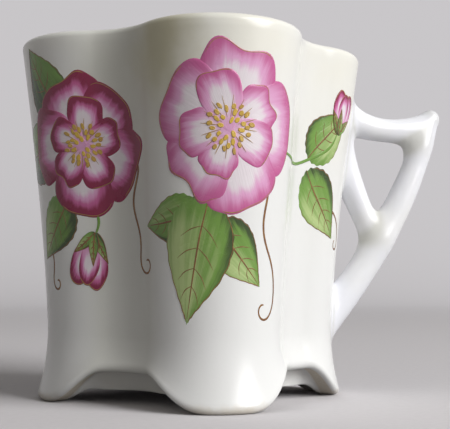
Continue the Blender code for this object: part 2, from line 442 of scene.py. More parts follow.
def wall_reach(sizes, height):
    """Axis to the outer crest of a lobe at a height."""
    rise = max(height - sizes.waist_height, 0) / (sizes.height - sizes.waist_height)
    fall = max(sizes.waist_height - height, 0) / sizes.waist_height
    widening = (sizes.lip_reach - sizes.waist_reach) * rise**sizes.wall_sweep
    return sizes.waist_reach + widening + (sizes.foot_reach - sizes.waist_reach) * fall**2


def wall_reach_nodes(sizes, height):
    """The same rule in nodes, from a tree's own inputs."""
    waist, low = sizes["Waist reach"], sizes["Waist height"]
    above = height - low
    rise = calc("MAXIMUM", above, 0) / (sizes["Height"] - low)
    fall = calc("MINIMUM", above, 0) / low
    swept = rise ** sizes["Wall sweep"] * (sizes["Lip reach"] - waist)
    flared = fall * fall * (sizes["Foot reach"] - waist)
    return waist + (swept + flared)


def turn_from_crest(sizes, turn):
    """Angle to the nearest lobe's crest, zero or more."""
    pitch = math.tau / sizes.lobes
    return abs((turn + pitch / 2) % pitch - pitch / 2)


def lobe_arc(sizes, turn):
    """Distance from the axis to one lobe's arc at the lip."""
    centre = sizes.lip_reach - sizes.lobe_radius
    chord = sizes.lobe_radius**2 - (centre * math.sin(turn)) ** 2
    return centre * math.cos(turn) + math.sqrt(max(chord, 0.0))


def lip_radius(sizes, turn):
    """Distance from the axis to the lip's outline, with the valleys between lobes melted."""
    off_crest = turn_from_crest(sizes, turn)
    near = lobe_arc(sizes, off_crest)
    far = lobe_arc(sizes, math.tau / sizes.lobes - off_crest)
    overlap = max(sizes.valley_blend - (near - far), 0.0)
    return near + overlap**2 / (4 * sizes.valley_blend)


def lip_normal(sizes, turn):
    """Outward normal of the lip's outline."""
    rise = lip_radius(sizes, turn + NORMAL_STEP) - lip_radius(sizes, turn - NORMAL_STEP)
    across = Vector((math.cos(turn), math.sin(turn), 0)) * lip_radius(sizes, turn)
    along = Vector((-math.sin(turn), math.cos(turn), 0)) * (rise / (2 * NORMAL_STEP))
    return (across - along).normalized()


def arch_share(sizes, turn):
    """Rise of the wall's lower edge: 0 on a foot's pad, 1 in a valley."""
    half_pad = sizes.foot_width / 2 / sizes.foot_reach
    side = math.pi / sizes.lobes - half_pad - sizes.arch_width / 2 / sizes.foot_reach
    rise = min(max(turn_from_crest(sizes, turn) - half_pad, 0.0) / side, 1.0)
    return (1 - math.cos(math.pi * rise**sizes.foot_fullness)) / 2


def outline_guide(sizes):
    """The lip's outline, from the front crest round to the right."""
    turns = [math.tau * i / OUTLINE_POINTS - math.pi / 2 for i in range(OUTLINE_POINTS)]
    radii = [lip_radius(sizes, t) for t in turns]
    lowest, highest = min(radii), max(radii)
    return guide(
        "lip_outline",
        [Vector((math.cos(t), math.sin(t), 0)) * r for t, r in zip(turns, radii)],
        outward=[lip_normal(sizes, t) for t in turns],
        arch=[arch_share(sizes, t) for t in turns],
        valley=[((highest - r) / (highest - lowest)) ** 2 for r in radii],
    )


# Cup body

WELD = 1e-6

# Steps of the section: along the underside, down to a foot, across its pad, round its edge, up the foot and
# the wall, over the lip, down the inside, and both round its lower corner and across the floor
BASE_STEPS, RAMP_STEPS, PAD_STEPS, EDGE_STEPS, FOOT_STEPS, WALL_STEPS = 8, 8, 4, 6, 16, 44
LIP_STEPS, INSIDE_STEPS, FLOOR_STEPS = 12, 36, 10


def profile_guide(sizes):
    """The body's section as rows of reach, inset and height, from the underside's middle, over a foot, up
    the wall, over the lip and down to the middle of the floor. Follow is 1 where the reach is the wall's
    own at that height, lift is how much of the arch a point takes, and bare is 1 on unglazed clay."""
    rows = []

    def put(reach, inset, height, follow=0.0, lift=0.0, inner=0.0, bare=0.0):
        rows.append((reach, inset, height, follow, lift, inner, bare))

    for s in shares(BASE_STEPS)[:-1]:
        put(sizes.base_reach * s, 0, sizes.base_clearance)
    pad_inset = sizes.foot_edge + sizes.foot_depth
    for s in shares(RAMP_STEPS):
        ease = s * s * (3 - 2 * s)
        put(sizes.base_reach, pad_inset * s, sizes.base_clearance * (1 - ease), follow=s, lift=ease)
    for s in shares(PAD_STEPS)[1:]:
        put(0, pad_inset - sizes.foot_depth * s, 0, follow=1, lift=1, bare=1)
    for s in shares(EDGE_STEPS)[1:]:
        turn = math.pi / 2 * s
        inset, height = sizes.foot_edge * (1 - math.sin(turn)), sizes.foot_edge * (1 - math.cos(turn))
        put(0, inset, height, follow=1, lift=1)
    for s in shares(FOOT_STEPS)[1:]:
        put(0, 0, sizes.foot_edge + (sizes.waist_height - sizes.foot_edge) * s, follow=1, lift=1 - s)

    lip_round = sizes.wall / 2
    wall_top = sizes.height - lip_round
    top_reach = wall_reach(sizes, wall_top)
    for s in shares(WALL_STEPS)[1:]:
        put(0, 0, sizes.waist_height + (wall_top - sizes.waist_height) * s, follow=1)
    for s in shares(LIP_STEPS)[1:]:
        inset = lip_round * (1 - math.cos(math.pi * s))
        put(top_reach, inset, wall_top + lip_round * math.sin(math.pi * s), inner=s)

    floor_top = sizes.base_clearance + sizes.floor
    wall_foot = floor_top + sizes.floor_fillet
    for s in shares(INSIDE_STEPS)[1:]:
        height = wall_top + (wall_foot - wall_top) * s
        put(wall_reach(sizes, max(height, sizes.waist_height)), sizes.wall, height, inner=1)
    foot_reach = wall_reach(sizes, max(wall_foot, sizes.waist_height))
    for s in shares(FLOOR_STEPS)[1:]:
        turn = math.pi / 2 * s
        pull = 1 - sizes.floor_fillet * (1 - math.cos(turn)) / (foot_reach - sizes.wall)
        height = wall_foot - sizes.floor_fillet * math.sin(turn)
        put(foot_reach * pull, sizes.wall * pull, height, inner=1)
    for s in shares(FLOOR_STEPS)[1:]:
        put(foot_reach * pull * (1 - s), sizes.wall * pull * (1 - s), floor_top, inner=1)

    columns = list(zip(*rows))
    labels = ("follow", "lift", "inner", "bare")
    return guide("body_profile", zip(*columns[:3]), **dict(zip(labels, columns[3:])))


def body_tree():
    """Sweep the profile around the outline."""
    inputs = dict.fromkeys(WALL_SIZES + ("Arch height", "Axis"), "Float")
    inputs |= {"Outline": "Object", "Profile": "Object", "Glaze": "Material"}
    tree, given = geometry_tree("Lobed body", inputs)
    outline, profile = drawn_object(given["Outline"]), drawn_object(given["Profile"])
    around, along = (
        add("GeometryNodeAttributeDomainSize", {0: line}, "Point Count") for line in (outline, profile)
    )
    grid = add("GeometryNodeMeshGrid", {"Vertices X": around + 1, "Vertices Y": along}, "Mesh")
    number = add("GeometryNodeInputIndex", tree=tree)
    column = calc("FLOOR", number / along) % around
    row = number % along

    def on_outline(name, kind="FLOAT"):
        return sampled(outline, named(tree, name, kind), column, kind)

    def on_profile(name):
        return sampled(profile, named(tree, name), row)

    rim = sampled(outline, position(tree), column, VECTOR)
    reach, inset, low = separate(sampled(profile, position(tree), row, VECTOR))
    height = on_outline("arch") * given["Arch height"] * on_profile("lift") + low
    reach = lerp(on_profile("follow"), reach, wall_reach_nodes(given, low))
    ring = scaled(rim, reach / given["Lip reach"])
    inward = scaled(on_outline("outward", VECTOR), -inset)
    skin = moved(grid, summed(ring, inward, combine(given["Axis"], 0, height)))
    skin = stored(skin, "valley", on_outline("valley"))
    for label in ("inner", "bare"):
        skin = stored(skin, label, on_profile(label))
    closed = add("GeometryNodeMergeByDistance", {"Geometry": skin, "Distance": WELD})
    return close_tree(closed, given["Glaze"])


# Handle

ARM, SPINE, BRACE = range(3)
NUMBER_SLACK = 0.1
BAR_STEPS = 640
FLARE_POWER = 5
HANDLE_ROOM = 0.004


def bowed_point(start, end, bow, s):
    """A point part of the way along a line in the plane y = 0 that bows to its right."""
    way = end - start
    side = Vector((way.z, 0, -way.x)).normalized()
    return start + way * s + side * bow * 4 * s * (1 - s)


def handle_bars(body, sizes):
    """Middle lines and widths of the arm, the spine and the brace."""

    def root(height):
        return Vector((wall_reach(body, height) - sizes.root_depth, 0, height))

    half_tip = sizes.tip_width / 2
    tip = Vector((body.lip_reach + sizes.tip_reach - half_tip, 0, body.height - sizes.tip_drop - half_tip))
    spine_root = root(sizes.spine_root_height)
    fork = bowed_point(tip, spine_root, -sizes.spine_bow, sizes.fork_share)
    brace_root = root(body.height - sizes.brace_root_drop)
    brace_end = fork + (brace_root - fork).normalized() * sizes.fork_gap
    wide, neck = sizes.root_width, sizes.tip_neck
    return (
        (root(body.height - sizes.arm_root_drop), tip, sizes.arm_sag, wide, sizes.arm_width, neck),
        (tip, spine_root, -sizes.spine_bow, neck, sizes.spine_width, sizes.spine_root_width),
        (brace_root, brace_end, sizes.brace_bow, wide, sizes.brace_width, neck),
    )


def bar_fillet(sizes, bar, s):
    """How softly a bar runs into those before it, part of the way along. It grows to the brace's end, and
    in the corner where the spine leaves the arm."""
    fillet, growth = sizes.bar_fillet, 0.0
    if bar == BRACE:
        fillet, growth = sizes.fork_fillet, s
    elif bar == SPINE:
        fillet = sizes.corner_fillet
        growth = math.sin(math.pi / 2 * min(s / sizes.corner_share, 2)) ** 2
    return sizes.bar_fillet + (fillet - sizes.bar_fillet) * growth


def handle_guide(body, sizes):
    """The handle's middle lines, with each point's half width, fillet and the number of its bar. The points
    lie close, because the handle takes its width and fillet from the nearest one."""
    points, edges, radii, fillets, bars = [], [], [], [], []
    for number, (start, end, bow, first, middle, last) in enumerate(handle_bars(body, sizes)):
        for i, s in enumerate(shares(BAR_STEPS)):
            if i:
                edges.append((len(points) - 1, len(points)))
            points.append(bowed_point(start, end, bow, s))
            flare_in, flare_out = (1 - s) ** FLARE_POWER, s**FLARE_POWER
            radii.append((middle + (first - middle) * flare_in + (last - middle) * flare_out) / 2)
            fillets.append(bar_fillet(sizes, number, s))
            bars.append(float(number))
    return guide("handle_lines", points, edges, radius=radii, fillet=fillets, bar=bars)


def handle_tree():
    """Run the bars softly together and into the wall, and mesh where that form's surface lies."""
    numbers = ("Lobe radius", "Axis", "Wall fillet", "Sunk edge", "Sunk root", "Grain")
    inputs = dict.fromkeys(WALL_SIZES + numbers, "Float")
    inputs |= {"Low": "Vector", "High": "Vector", "Lines": "Object", "Glaze": "Material"}
    tree, given = geometry_tree("Forked handle", inputs)
    lines = drawn_object(given["Lines"])
    bars = plain = None
    for number in (ARM, SPINE, BRACE):
        chosen = add(
            "FunctionNodeCompare", {0: named(tree, "bar"), 1: float(number), "Epsilon": NUMBER_SLACK},
            data_type="FLOAT", operation="EQUAL",
        )
        bar = add("GeometryNodeSeparateGeometry", {0: lines, 1: chosen})
        gap = add("GeometryNodeProximity", {0: bar}, "Distance", target_element="EDGES")
        nearest = add("GeometryNodeSampleNearest", {0: bar})
        skin = gap - sampled(bar, named(tree, "radius"), nearest)
        fillet = sampled(bar, named(tree, "fillet"), nearest)
        bars = skin if bars is None else calc("SMOOTH_MIN", bars, skin, fillet)
        plain = skin if plain is None else calc("MINIMUM", plain, skin)

    x, y, z = separate(position(tree))
    scale = wall_reach_nodes(given, z) / given["Lip reach"]
    middle = (given["Lip reach"] - given["Lobe radius"]) * scale
    wall = size_of(combine(x - middle, y, 0)) - given["Lobe radius"] * scale

    lowered = wall + given["Sunk edge"]
    plain = calc("MINIMUM", plain, lowered)
    form = calc("SMOOTH_MIN", bars, lowered, given["Wall fillet"])
    form = calc("MAXIMUM", form, bars - given["Wall fillet"])
    form = calc("MAXIMUM", form, -(wall + given["Sunk root"]))

    room = {"Density": 1 - form / given["Grain"], "Min": given["Low"], "Max": given["High"]}
    for axis, bottom, top in zip("XYZ", separate(given["Low"]), separate(given["High"])):
        room["Resolution " + axis] = calc("CEIL", (top - bottom) / given["Grain"])
    volume = add("GeometryNodeVolumeCube", room)
    mesh = add("GeometryNodeVolumeToMesh", {"Volume": volume, "Threshold": 1.0})
    mesh = stored(mesh, "filled", plain / given["Wall fillet"])
    shifted = moved(mesh, summed(position(tree), combine(given["Axis"], 0, 0)))
    return close_tree(shifted, given["Glaze"])


# Painting, drawn flat in millimetres: along the lip from the front crest, and up from the plane

MM = 0.001
PALE_MIDDLE, PALE_RADIUS = (-1.0, 43.0), 14.4
DEEP_MIDDLE, DEEP_RADIUS = (-30.4, 41.6), 12.6
OPEN_ROSES = ((PALE_MIDDLE, PALE_RADIUS), (DEEP_MIDDLE, DEEP_RADIUS))
HANGING_BUD = (-29.5, 26.5), 196, 9.0
RISING_BUD = (33.0, 46.0), 14, 7.5
BACK_BUD = (91.0, 40.0), 8, 9.0
PETALS = 5
STAMENS, STAMEN_REACH, STAMEN_LAYER = 34, 0.23, 12
SUNFLOWER_TURN = 137.5
FILAMENTS, FILAMENT_TURN, FILAMENT_REACH, FILAMENT_LAYER = 16, 6, (0.10, 0.22, 0.33), 11
PLAIN_BLADE = {
    "taper": 0.0, "point": 0.0, "notch": 0.0, "ruffle": 0.0, "teeth": 5.0, "bend": 0.0,
    "depth": 0.5, "shade": 0.5, "seed": 0.0,
}
NOTCH_SHARPNESS = 8
NIB_SIDES = 8
CROWN_LAYER = -3  # the layer that lies at the crown's own height


def blade(foot, heading, size, width, layer, **shape):
    """A petal, leaf or dab: where it starts, degrees clockwise from upright, length and half width."""
    sizes = {"heading": math.radians(heading), "length": size * MM, "width": width * MM, "layer": layer}
    return PLAIN_BLADE | shape | sizes | {"foot": (foot[0] * MM, foot[1] * MM, 0.0)}


def towards(spot, heading, way):
    """A place some way from another in the flat drawing."""
    turn = math.radians(heading)
    return spot[0] + way * math.sin(turn), spot[1] + way * math.cos(turn)


def rose(middle, radius, turn, layer, depth, seed):
    """Petals of an open briar rose, the outer ones first."""
    chance = random.Random(seed)
    pitch = 360 / PETALS
    petals = []
    for ring, (reach, spread) in enumerate(((1.0, 0.64), (0.68, 0.50))):
        for i in range(PETALS):
            heading = turn + pitch * i + pitch / 2 * ring + chance.uniform(-8, 8)
            size = radius * reach * chance.uniform(0.92, 1.06)
            petals.append(blade(
                towards(middle, heading, -0.06 * radius), heading, size, size * spread, layer + len(petals),
                taper=0.62, notch=chance.uniform(0.03, 0.13), ruffle=chance.uniform(0.02, 0.05),
                teeth=float(chance.randint(5, 8)), bend=chance.uniform(-0.08, 0.08),
                depth=depth, shade=0.35 + 0.3 * ring, seed=chance.uniform(0, 9),
            ))
    return petals


def bud(foot, heading, size, layer, depth, seed):
    """Three folded petals of a bud."""
    chance = random.Random(seed)
    petals = []
    for lean, reach, spread in ((-16, 0.92, 0.36), (17, 0.95, 0.36), (0, 0.86, 0.30)):
        petals.append(blade(
            foot, heading + lean, size * reach, size * spread, layer + len(petals), taper=0.35, point=0.25,
            ruffle=0.02, depth=depth, shade=0.3, seed=chance.uniform(0, 9),
        ))
    return petals


def calyx(foot, heading, size, layer, seed):
    """Three green sepals that hold a bud."""
    start = towards(foot, heading, -0.12 * size)
    return [
        blade(
            start, heading + lean, size * 0.62, size * 0.13, layer + i, point=1.0, bend=curl, shade=0.45,
            seed=seed + i,
        )
        for i, (lean, curl) in enumerate(((-34, -0.12), (32, 0.12), (-3, -0.12)))
    ]


def leaflet(foot, heading, size, layer, shade, seed, bend):
    """One toothed leaf."""
    return blade(
        foot, heading, size, size * 0.40, layer, taper=0.05, point=0.90, ruffle=0.018, teeth=23.0,
        bend=bend, shade=shade, seed=seed,
    )


def rose_petals():
    """All petals of the spray, and of the small sprig at the back."""
    pale = rose(PALE_MIDDLE, PALE_RADIUS, 14, 0, 0.42, 11)
    deep = rose(DEEP_MIDDLE, DEEP_RADIUS, -22, 0, 0.95, 5)
    buds = bud(*HANGING_BUD, 0, 0.9, 3) + bud(*RISING_BUD, 2, 0.8, 8) + bud(*BACK_BUD, 2, 0.7, 21)
    return pale + deep + buds


def rose_leaves():
    """All leaves and sepals."""
    leaves = [
        leaflet((-4.0, 32.5), 196, 19.5, -2, 0.66, 1, -0.08),
        leaflet((-5.0, 30.0), 258, 12.5, -4, 0.42, 2, 0.08),
        leaflet((-3.0, 29.0), 142, 13.5, -4, 0.55, 3, -0.08),
        leaflet((25.5, 40.5), 44, 13.0, -2, 0.64, 5, 0.10),
        leaflet((25.5, 38.5), 146, 14.5, -2, 0.55, 6, -0.08),
        leaflet((-34.5, 46.0), -34, 14.0, -2, 0.12, 8, 0.08),
        leaflet((-36.0, 41.0), -92, 16.0, -4, 0.16, 9, -0.06),
        leaflet((-34.0, 33.0), 218, 13.0, -2, 0.42, 12, 0.06),
        leaflet((90.0, 33.0), 304, 9.5, 1, 0.55, 13, 0.06),
        leaflet((91.0, 30.0), 62, 10.5, 1, 0.50, 14, -0.06),
    ]
    return leaves + calyx(*HANGING_BUD, 3, 2) + calyx(*RISING_BUD, 5, 4) + calyx(*BACK_BUD, 5, 6)


def rose_stamens():
    """Dabs of yellow in the middle of each open rose."""
    chance = random.Random(2)
    dabs = []
    for middle, radius in OPEN_ROSES:
        for i in range(STAMENS):
            heading = SUNFLOWER_TURN * i
            way = radius * STAMEN_REACH * math.sqrt((i + 0.5) / STAMENS)
            dabs.append(blade(
                towards(middle, heading, way), heading + chance.uniform(-30, 30), chance.uniform(0.9, 1.3),
                chance.uniform(0.30, 0.42), STAMEN_LAYER + i % 3, shade=way / radius / STAMEN_REACH,
                seed=chance.uniform(0, 9),
            ))
    return dabs


def tendril(start, heading, run, side):
    """A swaying line that winds up towards its end."""
    steps, shortening = 40, 0.35
    sway, sway_rate = 30, 12
    winding, winding_from = 78, 0.56
    points = [start]
    for s in shares(steps)[1:]:
        swayed = heading + sway * math.sin(sway_rate * s) * (1 - s)
        points.append(towards(points[-1], swayed, run / steps * (1 - shortening * s)))
        heading += side * winding * max(s - winding_from, 0)
    return points


def pen_strokes():
    """Stems, tendrils and filaments, as points, half widths at both ends, layer and tint."""
    strokes = [
        ([(-29.6, 33.0), (-28.4, 29.4), (-29.3, 26.9)], 1.3, 1.6, -2, 1.0),
        ([(9.0, 40.5), (15.0, 39.6), (21.0, 39.2), (26.5, 40.6), (31.0, 42.8), RISING_BUD[0]],
         1.4, 1.5, -1, 1.0),
        ([(91.0, 22.0), (90.2, 28.0), (91.6, 34.0), BACK_BUD[0]], 0.8, 1.6, 1.8, 1.0),
    ]
    for start, heading, run, side in (
        ((-19.6, 38.0), 176, 27.0, -1),
        ((7.0, 35.0), 166, 33.0, 1),
        ((-38.0, 31.0), 186, 20.0, -1),
        ((27.0, 38.5), 128, 26.0, 1),
        ((90.6, 27.0), 120, 16.0, -1),
    ):
        strokes.append((tendril(start, heading, run, side), 1.4, 0.9, -4.6, 0.3))
    for middle, radius in OPEN_ROSES:
        for i in range(FILAMENTS):
            heading = 360 / FILAMENTS * i + FILAMENT_TURN
            ends = [towards(middle, heading, radius * way) for way in FILAMENT_REACH]
            strokes.append((ends, 0.45, 0.3, FILAMENT_LAYER, 0.0))
    return strokes


def blade_guide(name, blades):
    """The feet of some blades, with their sizes."""
    columns = {label: [one[label] for one in blades] for label in blades[0]}
    return guide(name, columns["foot"], **columns)


def on_circle(radius, turn):
    """A place on a circle, clockwise from the top."""
    return radius * math.sin(turn), radius * math.cos(turn)


def blank_guide(name, rings, back_rings, sectors):
    """A round closed lens that each blade is bent from. Blank holds across, along and front share."""
    edge_power = 60
    blank = [(0.0, 0.0, 1.0)]
    front = [math.sin(math.pi / 2 * s) for s in shares(rings)[1:]]
    back = [1 - s for s in shares(back_rings)[1:-1]]
    for number, radius in enumerate(front + back):
        lift = 1 - radius**edge_power if number < rings else 0.0
        blank += [(*on_circle(radius, math.tau * i / sectors), lift) for i in range(sectors)]
    blank.append((0.0, 0.0, 0.0))
    last, rim = len(blank) - 1, len(blank) - 1 - sectors
    faces = [(0, 1 + (i + 1) % sectors, 1 + i) for i in range(sectors)]
    for inner in range(1, rim, sectors):
        for i in range(sectors):
            j = (i + 1) % sectors
            faces.append((inner + i, inner + j, inner + sectors + j, inner + sectors + i))
    faces += [(last, rim + i, rim + (i + 1) % sectors) for i in range(sectors)]
    return guide(name, [(p, q, 0) for p, q, _ in blank], (), faces, blank=blank)


def lines_guide(name, lines):
    """Lines with a half width, a layer and a tint along them, thin at both ends."""
    thin_end = 0.35
    points, edges, pens, layers, tints = [], [], [], [], []
    for ends, first, last, layer, tint in lines:
        for i, (x, y) in enumerate(ends):
            if i:
                edges.append((len(points) - 1, len(points)))
            s = i / (len(ends) - 1)
            points.append((x, y, 0.0))
            pens.append((first + (last - first) * s) * (thin_end if s in (0, 1) else 1.0))
            layers.append(float(layer))
            tints.append(float(tint))
    blank = [(x, y, 1.0) for x, y, _ in points]
    return guide(name, points, edges, pen=pens, level=layers, tone=tints, blank=blank)


def leaf_lines():
    """Midrib, side veins and edge of a leaf, across and along its blank."""
    layer, tint = 0.45, 0.3
    edge_radius, edge_start, edge_steps = 0.955, 0.2, 18
    lines = [([(0, -1.0), (0.01, -0.4), (-0.01, 0.3), (0, 0.9)], 1.0, 0.5, layer, tint)]
    for along in (-0.55, -0.2, 0.12, 0.4):
        for side in (-1, 1):
            reach = 0.62 * math.sqrt(1 - along * along)
            bent = [(0.0, along), (side * reach * 0.5, along + 0.10), (side * reach, along + 0.26)]
            lines.append((bent, 0.6, 0.3, layer, tint))
    for side, reach, first, last in ((-1, 2.6, 0.5, 0.35), (1, 1.7, 0.55, 0.2)):
        edge = [on_circle(edge_radius, side * (edge_start + reach * s)) for s in shares(edge_steps)]
        lines.append((edge, first, last, layer, tint))
    return lines


def petal_lines():
    """Edge of a petal."""
    edge_radius, edge_start, reach, edge_steps = 0.95, -1.05, 1.7, 16
    edge = [on_circle(edge_radius, edge_start + reach * s) for s in shares(edge_steps)]
    return [(edge, 0.20, 0.42, 0.4, 0.10)]


def blades_out(blades, blank):
    """A copy of the blank at each blade's foot."""
    inputs = {"Points": drawn_object(blades), "Instance": drawn_object(blank)}
    copies = add("GeometryNodeInstanceOnPoints", inputs)
    return add("GeometryNodeRealizeInstances", {"Geometry": copies})


def off_middle(across, along):
    """Distance from the middle of a blank."""
    return calc("SQRT", across * across + along**2)


def blade_place(tree):
    """Places in the flat drawing of a bent blank."""
    across, along, _ = separate(named(tree, "blank", VECTOR))
    off = off_middle(across, along)
    turn = calc("ARCTAN2", across, along)
    wave = calc("SINE", turn * named(tree, "teeth") + named(tree, "seed"))
    swell = wave * (off * off * named(tree, "ruffle")) + 1
    p = across * swell
    s = along * swell * 0.5 + 0.5
    s2 = s * s
    narrowed = 1 - named(tree, "taper") * (1 - s)
    pointed = 1 - named(tree, "point") * s2
    size = named(tree, "length")
    x = p * (narrowed * pointed * named(tree, "width")) + named(tree, "bend") * size * s2
    dip = calc("EXPONENT", p * p * -NOTCH_SHARPNESS)
    y = (s - named(tree, "notch") * (s2 * s2) * dip) * size
    sine, cosine = (calc(which, named(tree, "heading")) for which in ("SINE", "COSINE"))
    turned = combine(x * cosine + y * sine, y * cosine - x * sine, 0)
    return summed(named(tree, "foot", VECTOR), turned)


def layer_lift(given, layer):
    """Lift of a painted layer off the wall."""
    return (layer - CROWN_LAYER) * given["Layer step"] + given["Crown"]


def wrapped(given, flat, lift):
    """Places on the wall, from places in the flat drawing and a lift."""
    dots = add("GeometryNodeMeshToPoints", {"Mesh": drawn_object(given["Outline"])})
    line = add("GeometryNodePointsToCurves", {"Points": dots})
    ring = add("GeometryNodeSetSplineCyclic", {"Geometry": line, "Cyclic": True})
    along, height, _ = separate(flat)
    way = calc("FLOORED_MODULO", along, add("GeometryNodeCurveLength", {"Curve": ring}))
    spot = wires(add_node(
        "GeometryNodeSampleCurve", {"Curves": ring, "Length": way}, mode="LENGTH", use_all_curves=True
    ))
    outward = add("ShaderNodeVectorMath", {0: spot["Tangent"], 1: (0, 0, 1)}, operation="CROSS_PRODUCT")
    scale = wall_reach_nodes(given, height) / given["Lip reach"]
    return summed(
        scaled(spot["Position"], scale), scaled(outward, lift), combine(given["Axis"], 0, height)
    )


PAINT_INPUTS = dict.fromkeys(WALL_SIZES + ("Axis", "Crown", "Layer step", "Sink"), "Float") | {
    "Outline": "Object", "Enamel": "Material"
}


def blade_tree():
    """Bend a blank into each blade and lay it on the wall."""
    tree, given = geometry_tree("Painted blades", PAINT_INPUTS | {"Blades": "Object", "Blank": "Object"})
    blades = blades_out(given["Blades"], given["Blank"])
    across, along, front = separate(named(tree, "blank", VECTOR))
    stroke = combine(across, along * 0.5 + 0.5, off_middle(across, along))
    blades = stored(blades, "stroke", stroke, VECTOR)
    tint = combine(named(tree, "depth"), named(tree, "shade"), named(tree, "seed"))
    blades = stored(blades, "tint", tint, VECTOR)
    lift = lerp(front, -given["Sink"], layer_lift(given, named(tree, "layer")))
    return close_tree(moved(blades, wrapped(given, blade_place(tree), lift)), given["Enamel"])


def pen_tree():
    """Draw the edges and veins of the blades and the free lines on the wall."""
    objects = ("Petals", "Petal lines", "Leaves", "Leaf lines", "Free lines")
    inputs = PAINT_INPUTS | dict.fromkeys(("Pen width", "Pen relief", "Pen step"), "Float")
    tree, given = geometry_tree("Pen lines", inputs | dict.fromkeys(objects, "Object"))
    joined = add_node("GeometryNodeJoinGeometry", tree=tree)
    for blades, lines in (("Petals", "Petal lines"), ("Leaves", "Leaf lines")):
        drawn = blades_out(given[blades], given[lines])
        drawn = stored(drawn, "level", named(tree, "layer") + named(tree, "level"))
        connect(moved(drawn, blade_place(tree)), joined.inputs[0])
    free = moved(drawn_object(given["Free lines"]), scaled(position(tree), MM))
    connect(free, joined.inputs[0])
    lines = add("GeometryNodeMeshToCurve", {"Mesh": Wire(joined.outputs[0])})
    curves = add("GeometryNodeCurveSplineType", {"Curve": lines}, spline_type="CATMULL_ROM")
    even = add("GeometryNodeResampleCurve", {"Curve": curves, "Length": given["Pen step"]}, mode="LENGTH")
    nib = add("GeometryNodeCurvePrimitiveCircle", {"Resolution": NIB_SIDES, "Radius": given["Pen width"]})
    tubes = add(
        "GeometryNodeCurveToMesh",
        {"Curve": even, "Profile Curve": nib, "Scale": named(tree, "pen"), "Fill Caps": True},
    )
    x, y, z = separate(position(tree))
    lift = z * given["Pen relief"] + layer_lift(given, named(tree, "level"))
    return close_tree(moved(tubes, wrapped(given, combine(x, y, 0), lift)), given["Enamel"])


# Materials

BLACK = (0.0, 0.0, 0.0)
BACKDROP_GLOW = 0.8
GLAZE_RELIEF = 0.00006
ENAMEL_RELIEF = 0.00005
# Place and size of the olive-brown patch under the lip: brushed ground colour and painted shade
WASH_AND_SHADE_SQUASH = 0.6
WASH_AND_SHADE_MIDDLE = (AXIS_X - 0.0112, -0.0240, 0.0575 * WASH_AND_SHADE_SQUASH)


def new_material(name):
    """A material, its nodes and its shader."""
    material = bpy.data.materials.new(name)
    material.use_nodes = True
    tree = material.node_tree
    return material, tree, tree.nodes["Principled BSDF"]


def attribute(tree, name, output="Fac"):
    """An attribute of the piece in a material."""
    return add("ShaderNodeAttribute", (), output, tree, attribute_name=name)


def noise(place, scale, detail=2.0):
    """Soft noise around 0.5."""
    return add("ShaderNodeTexNoise", {"Vector": place, "Scale": scale, "Detail": detail})


def mixed(factor, *pair):
    """Two colours mixed."""
    first, second = (one if isinstance(one, Wire) else (*one, 1.0) for one in pair)
    return add("ShaderNodeMix", {"Factor": factor, 6: first, 7: second}, 2, data_type="RGBA")


def ramped(value, low, high):
    """A number that goes softly from 0 at one value to 1 at another."""
    inputs = {"Value": value, "From Min": low, "From Max": high}
    return add("ShaderNodeMapRange", inputs, interpolation_type="SMOOTHSTEP")


def graded(value, tone, *steps):
    """Colours that follow each other as a number rises: where each begins, where it is full, and itself."""
    for low, high, following in steps:
        tone = mixed(ramped(value, low, high), tone, following)
    return tone


def object_place(tree):
    """Place on the piece."""
    return add("ShaderNodeTexCoord", (), "Object", tree)


def shader_group(name, inputs, outputs):
    """A shader node group with named numbers in and out."""
    return new_tree(name, "ShaderNodeTree", dict.fromkeys(inputs, "Float"), dict.fromkeys(outputs, "Float"))


def placed_group(tree, group, inputs):
    """A shader node group in a material, with its own values."""
    node = add_node("ShaderNodeGroup", (), tree, node_tree=group)
    for label, value in inputs.items():
        connect(value, node.inputs[label])
    return wires(node)


def glaze_group():
    """Waves, gloss and iron specks of a fired glaze."""
    if "Fired glaze" in bpy.data.node_groups:
        return bpy.data.node_groups["Fired glaze"]
    group, given = shader_group("Fired glaze", ("Gloss", "Dull"), ("Height", "Roughness", "Specks"))
    place = object_place(group)
    height = noise(place, 1400) * 0.08 + noise(place, 110, 1.0)
    roughness = lerp(ramped(noise(place, 260, 3.0), 0.35, 0.75), given["Gloss"], given["Dull"])
    cells = wires(add_node("ShaderNodeTexVoronoi", {"Vector": place, "Scale": 230}))
    chosen = calc("GREATER_THAN", separate(cells["Color"])[0], 0.975)
    specks = chosen * (1 - ramped(cells["Distance"], 0.015, 0.05))
    add_node("NodeGroupOutput", {"Height": height, "Roughness": roughness, "Specks": specks})
    return group


def glazed(tree, gloss, dull):
    """The fired glaze in a material."""
    return placed_group(tree, glaze_group(), {"Gloss": gloss, "Dull": dull})


def coat(shader, tone, roughness, height, depth):
    """Give a shader its colour, its gloss and a bump of a depth in metres."""
    bump = add("ShaderNodeBump", {"Height": height, "Distance": depth, "Strength": 1.0})
    for label, wire in (("Base Color", tone), ("Roughness", roughness), ("Normal", bump)):
        connect(wire, shader.inputs[label])


